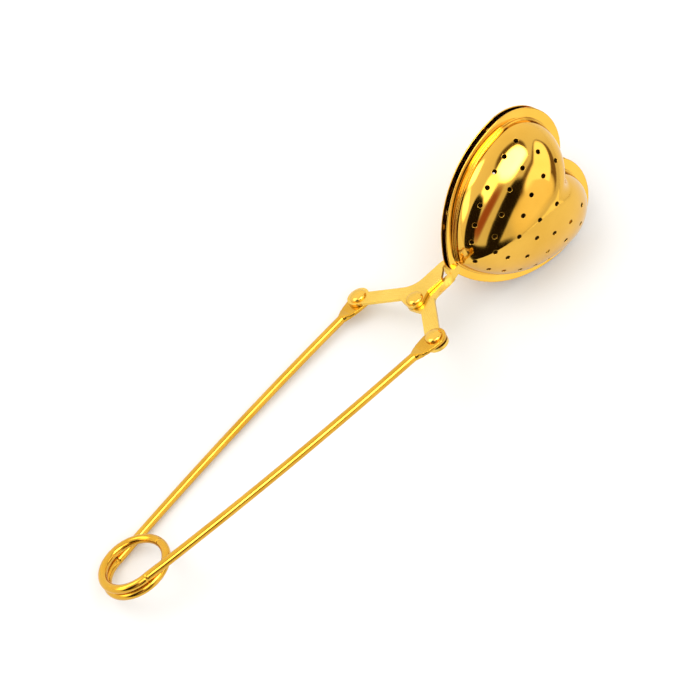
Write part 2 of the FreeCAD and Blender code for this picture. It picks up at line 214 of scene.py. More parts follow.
def gold(name, kind, deep, light, rough, grain, wobble, turn=0.0, stretch=(40.0, 9000.0)):
    """Plated gold: tone drift, smudges and satin grain along the work, slightly uneven surface.

    grain and wobble are heights in mm; turn and stretch lay the grain."""
    mat, nodes, links, bsdf = new_material(name)
    bsdf.inputs["Metallic"].default_value = 1.0
    place = nodes.new("ShaderNodeTexCoord").outputs["Object"]
    drift = noise(nodes, links, place, scale=90.0, detail=3.0)
    tone = ramp(nodes, 0.32, 0.68, deep, light)
    links.new(drift, tone.inputs["Fac"])
    links.new(tone.outputs["Color"], bsdf.inputs["Base Color"])

    laid = grain_coordinates(nodes, links, kind, stretch, turn)
    lines = noise(nodes, links, laid, scale=1.0, detail=2.0)
    smudge = noise(nodes, links, place, scale=210.0, detail=5.0, roughness=0.6)
    blend = nodes.new("ShaderNodeMix")
    blend.data_type = "FLOAT"
    blend.inputs["Factor"].default_value = 0.45
    links.new(smudge, blend.inputs["A"])
    links.new(lines, blend.inputs["B"])
    span = nodes.new("ShaderNodeMapRange")
    span.inputs["From Min"].default_value = 0.3
    span.inputs["From Max"].default_value = 0.7
    span.inputs["To Min"].default_value = rough * 0.72
    span.inputs["To Max"].default_value = rough * 1.35
    links.new(blend.outputs["Result"], span.inputs["Value"])
    links.new(span.outputs["Result"], bsdf.inputs["Roughness"])

    wave = noise(nodes, links, place, scale=260.0, detail=1.0)
    soft = bump(nodes, links, wave, wobble)
    fine = bump(nodes, links, lines, grain, soft)
    links.new(fine, bsdf.inputs["Normal"])
    return mat


ARM_TURN = math.atan2(PIN_Y, -PIN_X)
LEVER_GOLD = dict(kind="flat", deep=(0.76, 0.49, 0.085), light=(0.84, 0.56, 0.11), rough=0.27,
                  grain=0.0012, wobble=0.006)
gold_wire = gold("gold_wire", "wire", (0.60, 0.31, 0.028), (0.72, 0.40, 0.045), rough=0.15,
                 grain=0.0006, wobble=0.004, stretch=(60.0, 3.0))
gold_left = gold("gold_lever_left", turn=ARM_TURN, **LEVER_GOLD)
gold_right = gold("gold_lever_right", turn=-ARM_TURN, **LEVER_GOLD)
gold_rivet = gold("gold_rivet", "turned", (0.74, 0.44, 0.065), (0.82, 0.52, 0.09), rough=0.17,
                  grain=0.0015, wobble=0.004, stretch=(9000.0, 1.0))
gold_shell = gold("gold_shell", "flat", (0.72, 0.40, 0.055), (0.79, 0.46, 0.075), rough=0.075,
                  grain=0.0002, wobble=0.008)
# Inner faces of the shells and deep walls of the perforations: painted shade, a dark rough gold
# standing in for the shadow inside the closed hollow.
gold_inside_painted_shade = gold("gold_inside_painted_shade", "flat", (0.16, 0.085, 0.02), (0.22, 0.12, 0.03), rough=0.45,
                   grain=0.0002, wobble=0.01)


# ---------------------------------------------------------------- wire handle
def leg_line(side):
    """Where a leg leaves the coil, and where its eye is."""
    run = PIN_X - COIL_X
    reach = math.hypot(run, PIN_Y)
    angle = math.atan2(PIN_Y, run) + math.acos(COIL_R / reach) + LEG_BOW
    start = np.array([COIL_X + COIL_R * math.cos(angle), side * COIL_R * math.sin(angle), 0.0])
    return start, angle, np.array([PIN_X, side * PIN_Y, 0.0])


COIL_SPAN = 4.0 * math.pi - 2.0 * leg_line(1)[1]
COIL_RISE = COIL_PITCH * COIL_SPAN / (2.0 * math.pi)
RING = 40                           # points round a section of the wire
COIL_SECTIONS = 110                 # sections along half of the coil
GRAIN_START = 60.0                  # where the grain of a leg starts along the wire


def tube(name, centres, across, up, half_w, half_h, power, along):
    """Closed piece of wire over superellipse sections; along is the length that the grain uses."""
    phi = np.linspace(0.0, 2.0 * math.pi, RING, endpoint=False)
    ca, sa = np.cos(phi), np.sin(phi)
    verts = []
    for c, a, u, w, h, n in zip(centres, across, up, half_w, half_h, power):
        ring = (c + np.outer(np.sign(ca) * np.abs(ca) ** (2.0 / n) * w, a)
                + np.outer(np.sign(sa) * np.abs(sa) ** (2.0 / n) * h, u))
        verts.extend(to_world(ring))
    faces, corner_uv = [], []
    for i in range(len(centres) - 1):
        for k in range(RING):
            m = (k + 1) % RING
            faces.append((i * RING + k, i * RING + m, (i + 1) * RING + m, (i + 1) * RING + k))
            a0, a1 = phi[k], phi[k] + 2.0 * math.pi / RING
            corner_uv += [(along[i] * MM, a0), (along[i] * MM, a1),
                          (along[i + 1] * MM, a1), (along[i + 1] * MM, a0)]
    for section, order in ((0, -1), (len(centres) - 1, 1)):
        first = section * RING
        faces.append(tuple(range(first, first + RING))[::order])
        corner_uv += [(along[section] * MM, 0.0)] * RING
    piece = mesh_object(name, verts, faces, gold_wire, uv=corner_uv)
    for polygon in piece.data.polygons:
        polygon.use_smooth = len(polygon.vertices) == 4
    return piece


def make_half_coil(side, name):
    """Half of the coil, from the middle of the wire to where one leg begins."""
    sweep = np.linspace(0.0, COIL_SPAN / 2.0, COIL_SECTIONS)
    centres, across, up, along = [], [], [], []
    for a in sweep:
        turn = side * -a
        centre = np.array([COIL_X + COIL_R * math.cos(turn), COIL_R * math.sin(turn),
                           -side * COIL_RISE * a / COIL_SPAN])
        heading = np.array([side * math.sin(turn), -side * math.cos(turn),
                            -side * COIL_PITCH / (2.0 * math.pi * COIL_R)])
        heading /= np.linalg.norm(heading)
        out = np.array([math.cos(turn), math.sin(turn), 0.0])
        centres.append(centre)
        across.append(out)
        up.append(np.cross(heading, out))
        along.append(a * COIL_R)
    ones = np.ones(COIL_SECTIONS)
    piece = tube(name, centres, across, up, ones * WIRE_R, ones * WIRE_R, ones * 2.0, along)
    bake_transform(piece)
    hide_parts("handle_coil")


def leg_stations(length, neck):
    """Places of the sections along a leg, closer together where its shape changes."""
    stations = list(np.linspace(0.0, EASE_L, 13))
    stations += list(np.linspace(EASE_L + 1.0, neck - 1.0, 26))
    stations += list(np.linspace(neck - 0.8, neck + 3.4, 36))
    stations += list(np.linspace(neck + 3.6, length - 0.6, 12))
    round_end = np.linspace(-0.12, math.pi / 2 - 0.03, 26)
    stations += [length + PADDLE_R * math.sin(a) for a in round_end]
    return np.array(stations)


def leg_sections(behind):
    """Half width, half height and squareness of a leg, by the distance behind its eye."""
    half_w = np.interp(behind, PADDLE_BEHIND, PADDLE_HALF_W)
    eye = np.sqrt(np.maximum(PADDLE_R ** 2 - behind ** 2, 0.0))
    half_w = np.where(behind < 0.5, np.maximum(eye, 0.05), half_w)
    press = np.clip((PADDLE_BEHIND[-1] - behind) / 2.3, 0.0, 1.0)
    half_h = WIRE_R + (PADDLE_T / 2 - WIRE_R) * press
    half_h = np.where(behind < 0.0, (PADDLE_T / 2) * np.clip(eye / 0.6, 0.4, 1.0), half_h)
    return half_w, half_h, 2.0 + (PADDLE_POWER - 2.0) * press


def make_leg(side, name, node, body):
    """Slightly bowed leg that is pressed flat and round at its eye."""
    start, angle, end = leg_line(side)
    start[2] = -side * COIL_RISE / 2.0
    end[2] = LEFT_Z if side > 0 else RIGHT_Z
    bow = angle - math.pi / 2 - math.atan2(PIN_Y - abs(start[1]), PIN_X - start[0])
    chord = end - start
    radius = np.linalg.norm(chord) / (2.0 * math.sin(bow))
    middle = start + chord / 2.0
    chord /= np.linalg.norm(chord)
    out = np.array([0.0, side, 0.0]) - chord * side * chord[1]
    out /= np.linalg.norm(out)
    centre = middle - out * radius * math.cos(bow)
    length = 2.0 * bow * radius
    neck = length - PADDLE_L
    stations = leg_stations(length, neck)
    half_w, half_h, power = leg_sections(length - stations)
    level = np.interp(stations, [neck - 1.0, neck + 1.6], [0.0, 1.0])
    last = bow - PADDLE_L / radius
    flat = end - (centre + radius * (out * math.cos(last) + chord * math.sin(last)))
    flat[2] = 0.0
    flat /= np.linalg.norm(flat)
    climb = -side * COIL_PITCH / (2.0 * math.pi * COIL_R) - chord[2]
    centres, acrosses, ups = [], [], []
    for s, f in zip(stations, level):
        turn = -bow + s / radius
        bowed = centre + radius * (out * math.cos(turn) + chord * math.sin(turn))
        straight = end + flat * (s - length)
        heading = (chord * math.cos(turn) - out * math.sin(turn)) * (1.0 - f) + flat * f
        u = min(s / EASE_L, 1.0)
        bowed[2] += climb * EASE_L * u * (1.0 - u) ** 2
        heading[2] += climb * (1.0 - u) * (1.0 - 3.0 * u)
        heading /= np.linalg.norm(heading)
        across = np.cross([0.0, 0.0, 1.0], heading)
        across /= np.linalg.norm(across)
        up = np.cross(heading, across)
        centres.append(bowed * (1.0 - f) + straight * f)
        acrosses.append(across)
        ups.append(up / np.linalg.norm(up))
    piece = tube(name, centres, acrosses, ups, half_w, half_h, power, stations + GRAIN_START)
    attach(piece, body)
    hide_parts(node)


# ---------------------------------------------------------------- levers
def make_lever(node, name, body, material):
    """Sheet lever with the broken edges that blanking leaves."""
    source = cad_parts[node]
    mesh = source.data.copy()
    mesh.name = name
    bm = bmesh.new()
    bm.from_mesh(mesh)
    bmesh.ops.remove_doubles(bm, verts=bm.verts, dist=0.002 * MM)
    bmesh.ops.dissolve_limit(bm, angle_limit=math.radians(0.15), verts=bm.verts, edges=bm.edges)
    bm.to_mesh(mesh)
    bm.free()
    mesh.materials.clear()
    mesh.materials.append(material)
    mesh.polygons.foreach_set("use_smooth", [True] * len(mesh.polygons))
    piece = bpy.data.objects.new(name, mesh)
    bpy.context.scene.collection.objects.link(piece)
    bevel = piece.modifiers.new("edges", "BEVEL")
    bevel.width = LEVER_EDGE * MM
    bevel.segments = 3
    bevel.limit_method = "ANGLE"
    bevel.angle_limit = math.radians(35)
    apply_modifiers(piece)
    steady_normals(piece.data)
    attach(piece, body)
    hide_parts(node)


def steady_normals(mesh):
    """Flat shading on large faces; small faces blend into their large neighbours."""
    large = 0.12 * MM * MM
    alike = 0.75
    around = [[] for _ in mesh.vertices]
    for face in mesh.polygons:
        for v in face.vertices:
            around[v].append((face.normal.copy(), face.area))
    normals = []
    for face in mesh.polygons:
        for v in face.vertices:
            total = face.normal * face.area
            if face.area < large:
                for normal, area in around[v]:
                    if normal.dot(face.normal) > alike:
                        total = total + normal * area
            normals.append(tuple(total.normalized()))
    mesh.normals_split_custom_set(normals)


def apply_modifiers(piece):
    """Turns what the modifiers make into the piece's own mesh."""
    bpy.context.view_layer.update()
    graph = bpy.context.evaluated_depsgraph_get()
    mesh = bpy.data.meshes.new_from_object(piece.evaluated_get(graph))
    piece.modifiers.clear()
    piece.data = mesh


# ---------------------------------------------------------------- rivets
RIVET_SEG = 64


def rivet_profile(shaft, head_z, tail_z):
    """Half section from the top of the head to the bottom of the tail, mm."""
    head = [(0.0, 1.10), (0.5, 1.095), (1.0, 1.06), (1.4, 1.0), (1.75, 0.9), (2.02, 0.77),
            (2.2, 0.62), (2.33, 0.44), (2.39, 0.28), (HEAD_R, 0.16), (2.385, 0.06), (2.33, 0.0)]
    tail = [(2.07, 0.0), (2.13, -0.05), (TAIL_R, -0.15), (2.08, -0.32), (1.9, -0.47),
            (1.55, -0.6), (1.0, -0.68), (0.5, -0.697), (0.0, -0.7)]
    points = [(r, z + head_z) for r, z in head]
    points += [(shaft, head_z), (shaft, tail_z)]
    points += [(r, z + tail_z) for r, z in tail]
    return points


def make_rivet(name, node, body, x, y, shaft, head_z, tail_z):
    """Turned rivet, built about its own axis."""
    profile = rivet_profile(shaft, head_z, tail_z)
    count = RIVET_SEG
    verts, faces = [], []
    rows = []
    for r, z in profile:
        if r == 0.0:
            rows.append([len(verts)])
            verts.append((0.0, 0.0, z * MM))
            continue
        rows.append(list(range(len(verts), len(verts) + count)))
        for k in range(count):
            a = 2.0 * math.pi * k / count
            verts.append((r * math.cos(a) * MM, r * math.sin(a) * MM, z * MM))
    for top, low in zip(rows, rows[1:]):
        for k in range(count):
            m = (k + 1) % count
            if len(top) == 1:
                faces.append((top[0], low[k], low[m]))
            elif len(low) == 1:
                faces.append((top[k], low[0], top[m]))
            else:
                faces.append((top[k], low[k], low[m], top[m]))
    piece = mesh_object(name, verts, faces, gold_rivet)
    piece.data.set_sharp_from_angle(angle=math.radians(50))
    piece.matrix_world = REST @ Matrix.Translation(Vector((x, y, 0.0)) * MM)
    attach(piece, body)
    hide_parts(node)


# ---------------------------------------------------------------- heart shells
def heart_radius(theta, plan, grow, scale=1.0):
    """Polar radius of a heart outline about its centre, and its outward normal (x, z).

    grow offsets the outline outwards, scale is the share of full size it is meant for."""
    theta = np.asarray(theta, float)
    scale = np.broadcast_to(np.asarray(scale, float), theta.shape)
    lx, lz, lr = plan["lobe"]
    lr = lr + grow
    side, tip = plan["side"] + grow, plan["tip"] + grow
    fr = (plan["cleft"] - grow + CLEFT_OPENING * (1.0 - scale)) / scale
    a = np.abs(theta)
    dx, dz = np.cos(a), np.sin(a)
    sx = lx - (side - lr) * math.sin(LEAN)
    sz = lz - (side - lr) * math.cos(LEAN)
    tx = sx - math.sqrt((side - tip) ** 2 - sz ** 2)
    fx = lx + np.sqrt((lr + fr) ** 2 - lz ** 2)

    def hit(cx, cz, r, far):
        b = dx * (cx - HEART_C) + dz * cz
        c = (cx - HEART_C) ** 2 + cz ** 2 - r * r
        root = np.sqrt(np.maximum(b * b - c, 0.0))
        return b + root if far else b - root

    share = lr / (lr + fr)
    a_cleft = np.arctan2(lz * (1.0 - share), lx + (fx - lx) * share - HEART_C)
    a_lobe = math.atan2(lz + lr * math.cos(LEAN), lx + lr * math.sin(LEAN) - HEART_C)
    k = side / (side - tip)
    a_side = math.atan2(sz - sz * k, sx + (tx - sx) * k - HEART_C)
    radius = np.where(a < a_cleft, hit(fx, 0.0, fr, False),
                      np.where(a < a_lobe, hit(lx, lz, lr, True),
                               np.where(a < a_side, hit(sx, sz, side, True),
                                        hit(tx, 0.0, tip, True))))
    x, z = HEART_C + radius * dx, radius * dz
    nx = np.where(a < a_cleft, (fx - x) / fr,
                  np.where(a < a_lobe, (x - lx) / lr,
                           np.where(a < a_side, (x - sx) / side, (x - tx) / tip)))
    nz = np.where(a < a_cleft, (0.0 - z) / fr,
                  np.where(a < a_lobe, (z - lz) / lr,
                           np.where(a < a_side, (z - sz) / side, z / tip)))
    return radius, nx, nz * np.where(theta < 0.0, -1.0, 1.0)


def dome_point(q):
    """Outer face of the dome over a flat disc of radius pi/2: rings become rings."""
    q = np.asarray(q, float)
    phi = np.clip(np.hypot(q[:, 0], q[:, 1]), 1e-6, math.pi / 2)
    theta = np.arctan2(q[:, 1], q[:, 0])
    share = np.sin(phi)
    radius, _, _ = heart_radius(theta, FOOT, -STEP_W, np.maximum(share, 1e-3))
    r = share * radius
    rise = DOME_H * np.cos(phi) ** (2.0 * DOME_POWER)
    return np.c_[HEART_C + r * np.cos(theta), FRONT_Y - STEP_H - rise, r * np.sin(theta)]


def dome_frame(q):
    """Point, outward normal and the two tangent steps of the dome at q."""
    e = 1e-3
    length = np.hypot(q[:, 0], q[:, 1])
    limit = math.pi / 2 - 2.0 * e
    inner = q * np.minimum(1.0, limit / np.maximum(length, 1e-9))[:, None]
    ex, ez = np.array([e, 0.0]), np.array([0.0, e])
    tx = (dome_point(inner + ex) - dome_point(inner - ex)) / (2.0 * e)
    tz = (dome_point(inner + ez) - dome_point(inner - ez)) / (2.0 * e)
    n = np.cross(tx, tz)
    n /= np.linalg.norm(n, axis=1)[:, None]
    n *= np.where(((dome_point(q) - [HEART_C, 0.0, 0.0]) * n).sum(1) < 0.0, -1.0, 1.0)[:, None]
    return dome_point(q), n, tx, tz


def hole_centres():
    """Perforation centres on the flat disc.

    Beside the cleft a share counts towards the foot as it would run without the cleft."""
    spots = []
    for share, deg in PERFORATIONS:
        a = math.radians(deg)
        plain = heart_radius(np.array([max(a, 0.3)]), FOOT, -STEP_W)[0][0]
        real = heart_radius(np.array([a]), FOOT, -STEP_W, max(share, 0.05))[0][0]
        phi = math.asin(min(share * (plain / real if deg < CLEFT_SIDE else 1.0), 0.999))
        for twin in ((1,) if deg in (0.0, 180.0) else (1, -1)):
            spots.append((phi * math.cos(a), twin * phi * math.sin(a)))
    return np.array(spots)


RING_STEPS, RING_DAMPING = 25, 0.7  # steps that bring a ring onto the dome, and their size
CLEFT_SIDE = 60.0                   # directions below this pass beside the cleft, degrees
HOLE_SEG = 24                       # points round a perforation
RIM_SEG = 600                       # points round the heart
# Lip of a perforation: way inwards and depth, mm, and how much its normal still faces out.
LIP_STEPS = ((0.045, 0.015, 0.75), (0.085, 0.05, 0.38), (HOLE_LIP, 0.11, 0.0))
DOME_ROWS = 58                      # rows of points from the top of the dome to its foot


def ring_on_dome(centre, radius):
    """Points of the flat disc that lie on a circle about one perforation."""
    c, n, tx, _ = dome_frame(centre[None, :])
    u = tx[0] / np.linalg.norm(tx[0])
    v = np.cross(n[0], u)
    a = np.linspace(0.0, 2.0 * math.pi, HOLE_SEG, endpoint=False)
    goal = c[0] + radius * (np.outer(np.cos(a), u) + np.outer(np.sin(a), v))
    q = centre + 1e-3 * np.c_[np.cos(a), np.sin(a)]
    for _ in range(RING_STEPS):
        p, _, tx, tz = dome_frame(q)
        gap = np.c_[(goal - p) @ u, (goal - p) @ v]
        slope = np.stack([np.c_[tx @ u, tz @ u], np.c_[tx @ v, tz @ v]], axis=1)
        q = q + RING_DAMPING * np.linalg.solve(slope, gap[:, :, None])[:, :, 0]
    return q


def dome_mesh():
    """Triangulated flat disc with round gaps: points, triangles and the loops of the gaps."""
    centres = hole_centres()
    spots = dome_point(centres)
    points = [np.zeros((1, 2))]
    for i in range(1, DOME_ROWS):
        phi = (math.pi / 2) * i / DOME_ROWS
        count = max(6, int(round(2.0 * math.pi * i * 1.25)))
        a = np.linspace(0.0, 2.0 * math.pi, count, endpoint=False)
        a += 0.5 * (i % 2) * 2 * math.pi / count
        points.append(np.c_[phi * np.cos(a), phi * np.sin(a)])
    grid = np.vstack(points)
    gap = np.min(np.linalg.norm(dome_point(grid)[:, None, :] - spots[None, :, :], axis=2), axis=1)
    guard, clear = 0.26, 0.38
    grid = grid[gap > HOLE_R + clear]
    a = np.linspace(0.0, 2.0 * math.pi, RIM_SEG, endpoint=False)
    edge = np.c_[np.cos(a), np.sin(a)] * (math.pi / 2)
    loops = [ring_on_dome(c, HOLE_R + HOLE_LIP) for c in centres]
    outer_loops = [ring_on_dome(c, HOLE_R + guard) for c in centres]
    blocks = [edge] + loops + outer_loops + [grid]
    flat = np.vstack(blocks)
    first = RIM_SEG
    edges = [(k, (k + 1) % RIM_SEG) for k in range(RIM_SEG)]
    rims = []
    for _ in loops:
        ids = list(range(first, first + HOLE_SEG))
        edges += [(ids[k], ids[(k + 1) % HOLE_SEG]) for k in range(HOLE_SEG)]
        rims.append(ids)
        first += HOLE_SEG
    out = delaunay_2d_cdt([Vector(p) for p in flat], edges, [], 0, 1e-9)
    if len(out[0]) != len(flat):
        raise RuntimeError("the dome's points moved in the triangulation")
    came_from = [ids[0] for ids in out[3]]
    tris = [tuple(came_from[v] for v in f) for f in out[2]]
    middle = np.array([flat[list(t)].mean(0) for t in tris])
    centre3 = dome_point(middle)
    near = np.linalg.norm(centre3[:, None, :] - spots[None, :, :], axis=2)
    inside = near.min(axis=1) < HOLE_R + HOLE_LIP - 0.01
    rim_of = near.argmin(axis=1)
    member = [set(r) for r in rims]
    keep = []
    for t, gone, k in zip(tris, inside, rim_of):
        if gone and all(v in member[k] for v in t):
            continue
        keep.append(t)
    return flat, keep, rims


def shell_profile():
    """Rings from the foot of the dome round the rim to the inner foot of the dome.

    Each entry: plan, grow, y, outward share and y share of the normal. The fillets are the brow
    and the root of the step, the edge of the rim and the hollow behind the step."""
    top = FRONT_Y - STEP_H
    inner = FRONT_Y + SHEET_T
    rows = []

    def arc(plan, grow, y, r, a0, a1, steps, sign):
        for a in np.linspace(a0, a1, steps):
            c, s = math.cos(math.radians(a)), math.sin(math.radians(a))
            rows.append((plan, grow + r * c, y + r * s, sign * c, sign * s))

    brow, root, edge, hollow = 0.16, 0.22, 0.2, 0.15
    arc(FOOT, -STEP_W + brow, top - brow, brow, 180.0, 90.0, 4, -1.0)
    arc(FOOT, -brow, top + brow, brow, 270.0, 360.0, 5, 1.0)
    arc(FOOT, root, FRONT_Y - root, root, 180.0, 90.0, 5, -1.0)
    arc(RIM, -edge, FRONT_Y + edge, edge, 270.0, 360.0, 5, 1.0)
    arc(RIM, -edge, inner - edge, edge, 0.0, 90.0, 5, 1.0)
    arc(FOOT, -SHEET_T + hollow, inner - hollow, hollow, 90.0, 180.0, 4, 1.0)
    floor = top + SHEET_T
    corner = 0.1
    rows.append((FOOT, -SHEET_T, floor + corner, -1.0, 0.0))
    rows.append((FOOT, -SHEET_T - corner, floor, 0.0, 1.0))
    rows.append((FOOT, -STEP_W - SHEET_T, floor, 0.0, 1.0))
    rows.append((FOOT, -STEP_W - SHEET_T, floor - corner, -1.0, 0.0))
    return rows


class Skin:
    """Points, faces and corner normals of a shell, grown ring by ring."""

    def __init__(self):
        self.points, self.faces, self.normals = [], [], []
        self.count = 0

    def add_points(self, points):
        """Adds points and returns their indices."""
        ids = list(range(self.count, self.count + len(points)))
        self.points.append(points)
        self.count += len(points)
        return ids

    def add_face(self, ids, normals):
        """Adds one face with a normal for every corner."""
        self.faces.append(tuple(ids))
        self.normals += normals

    def add_band(self, one, two, normal_one, normal_two):
        """Adds quads between two closed loops of points."""
        for k in range(len(one)):
            m = (k + 1) % len(one)
            self.add_face((one[k], one[m], two[m], two[k]),
                          [normal_one[k], normal_one[m], normal_two[m], normal_two[k]])


def add_hole_walls(skin, rims, outer, normal):
    """Lips and walls of the perforations; returns the indices of the faces deep inside, which are
    painted dark as shade.
    """
    deep = []
    centres = dome_point(hole_centres())
    _, axes, _, _ = dome_frame(hole_centres())
    for ids, c, axis in zip(rims, centres, axes):
        start = outer[ids]
        ahead = start - c
        ahead -= np.outer(ahead @ axis, axis)
        ahead /= np.linalg.norm(ahead, axis=1)[:, None]
        previous, prev_n = ids, normal[ids]
        for inward, depth, tilt in LIP_STEPS:
            n = normal[ids] * tilt - ahead * math.sqrt(1.0 - tilt * tilt)
            now = skin.add_points(start - ahead * inward - normal[ids] * depth)
            skin.add_band(previous, now, prev_n, n)
            previous, prev_n = now, n
        deep += range(len(skin.faces), len(skin.faces) + HOLE_SEG)
        skin.add_band(previous, [v + len(outer) for v in ids], prev_n, -ahead)
    return deep


def add_rim(skin, theta, outer, normal):
    """Step, flange and back of the flange, from the foot of the dome to its inner foot."""
    previous, prev_n = list(range(RIM_SEG)), normal[:RIM_SEG]
    for plan, grow, y, out_share, y_share in shell_profile():
        radius, mx, mz = heart_radius(theta, plan, grow)
        n = np.c_[mx * out_share, np.full(RIM_SEG, y_share), mz * out_share]
        now = skin.add_points(np.c_[HEART_C + radius * np.cos(theta), np.full(RIM_SEG, y),
                                    radius * np.sin(theta)])
        skin.add_band(previous, now, prev_n, n)
        previous, prev_n = now, n
    last = [v + len(outer) for v in range(RIM_SEG)]
    skin.add_band(previous, last, prev_n, -normal[:RIM_SEG])


def make_front_skin():
    """Skin of the front shell, and the indices of its inside faces, which are painted dark as shade.
    """
    flat, tris, rims = dome_mesh()
    outer, normal, _, _ = dome_frame(flat)
    theta = np.linspace(0.0, 2.0 * math.pi, RIM_SEG, endpoint=False)
    theta = np.where(theta > math.pi, theta - 2.0 * math.pi, theta)
    _, mx, mz = heart_radius(theta, FOOT, -STEP_W)
    normal[:RIM_SEG] = np.c_[mx, np.zeros(RIM_SEG), mz]
    skin = Skin()
    skin.add_points(outer)
    skin.add_points(outer - normal * SHEET_T)
    inside = []
    for t in tris:
        a, b, c = (outer[v] for v in t)
        if np.dot(np.cross(b - a, c - a), normal[t[0]]) < 0.0:
            t = t[::-1]
        skin.add_face(t, [normal[v] for v in t])
        inside.append(len(skin.faces))
        skin.add_face([v + len(flat) for v in t[::-1]], [-normal[v] for v in t[::-1]])
    inside += add_hole_walls(skin, rims, outer, normal)
    add_rim(skin, theta, outer, normal)
    return skin, inside


def orient(verts, faces, normals):
    """Turns faces round so that they agree with their corner normals."""
    at = 0
    new_faces, new_normals = [], []
    for face in faces:
        n = normals[at:at + len(face)]
        at += len(face)
        a, b, c = verts[face[0]], verts[face[1]], verts[face[2]]
        area = np.cross(b - a, c - a)
        if len(face) == 4:
            area = area + np.cross(c - a, verts[face[3]] - a)
        if np.dot(area, n.sum(axis=0)) < 0.0:
            face, n = face[::-1], n[::-1]
        new_faces.append(tuple(int(v) for v in face))
        new_normals.append(n)
    return new_faces, np.vstack(new_normals)


def make_shells():
    """Both half shells; the back one mirrors the front one."""
    skin, inside = make_front_skin()
    verts = np.vstack(skin.points)
    faces, normals = orient(verts, skin.faces, np.array(skin.normals))
    turn = np.array([[math.cos(SKEW), 0.0, -math.sin(SKEW)], [0.0, 1.0, 0.0],
                     [math.sin(SKEW), 0.0, math.cos(SKEW)]])
    for name, node, body, mirrored in (("front_half_shell", "front_shell", "right_jaw", False),
                                       ("back_half_shell", "back_shell", "left_jaw", True)):
        v, n, f = verts.copy(), normals.copy(), faces
        if mirrored:
            v[:, 1] = FRONT_Y + BACK_Y - v[:, 1]
            n[:, 1] *= -1.0
            at, flipped = 0, []
            f = [face[::-1] for face in faces]
            for face in faces:
                flipped.append(n[at:at + len(face)][::-1])
                at += len(face)
            n = np.vstack(flipped)
        piece = mesh_object(name, to_world(v @ turn.T), f, gold_shell, normals=turn_world(n @ turn.T))
        # The inner faces take the dark gold that paints shade into the hollow of the shell.
        piece.data.materials.append(gold_inside_painted_shade)
        slots = np.zeros(len(f), np.int32)
        slots[inside] = 1
        piece.data.polygons.foreach_set("material_index", slots)
        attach(piece, body)
        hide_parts(node)


# ---------------------------------------------------------------- build
make_half_coil(1, "coil_wire_left")
make_half_coil(-1, "coil_wire_right")
make_leg(1, "leg_wire_left", "left_leg", "left_grip")
make_leg(-1, "leg_wire_right", "right_leg", "right_grip")
make_lever("left_lever", "lever_plate_left", "left_jaw", gold_left)
make_lever("right_lever", "lever_plate_right", "right_jaw", gold_right)
make_rivet("middle_rivet", "pivot_rivet", "left_jaw", 0.0, 0.0, PIVOT_R, LEVER_TOP,
           -LEVER_TOP - RIVET_PLAY)
make_rivet("left_rivet", "left_handle_rivet", "left_jaw", PIN_X, PIN_Y, SHAFT_R, LEVER_TOP,
           LEFT_Z - PADDLE_T / 2 - RIVET_PLAY)
make_rivet("right_rivet", "right_handle_rivet", "right_jaw", PIN_X, -PIN_Y, SHAFT_R,
           RIGHT_Z + PADDLE_T / 2 + 0.04, -LEVER_TOP)
make_shells()

# ---------------------------------------------------------------- room
HEART = Vector(to_world([HEART_C, -6.0, 0.0])[0])      # what the lights look at


def aim(azimuth, elevation):
    """Unit vector from an azimuth measured from +X and an elevation, degrees."""
    a, e = math.radians(azimuth), math.radians(elevation)
    return Vector((math.cos(e) * math.cos(a), math.cos(e) * math.sin(a), math.sin(e)))


def face_heart(direction, distance, roll):
    """Placement at a distance from the heart, looking back at it; roll in degrees."""
    spot = HEART + direction * distance
    turn = direction.to_track_quat("Z", "Y").to_matrix().to_4x4()
    return Matrix.Translation(spot) @ turn @ Matrix.Rotation(math.radians(roll), 4, "Z")


def softbox(name, direction, distance, width, height, radiance):
    """Area light that is not seen in reflections."""
    light = bpy.data.lights.new(name, "AREA")
    light.shape = "RECTANGLE"
    light.size = width
    light.size_y = height
    light.energy = radiance * math.pi * width * height
    obj = bpy.data.objects.new(name, light)
    obj.matrix_world = face_heart(direction, distance, 0.0)
    obj.visible_camera = False
    obj.visible_glossy = False
    bpy.context.scene.collection.objects.link(obj)


def shader_math(nodes, links, operation, one, two):
    """Math node fed by an output or a number on each side."""
    node = nodes.new("ShaderNodeMath")
    node.operation = operation
    for i, value in enumerate((one, two)):
        if isinstance(value, (int, float)):
            node.inputs[i].default_value = value
        else:
            links.new(value, node.inputs[i])
    return node.outputs[0]


CARD_POWER = 3.0                    # squareness of the cards' rounded shape


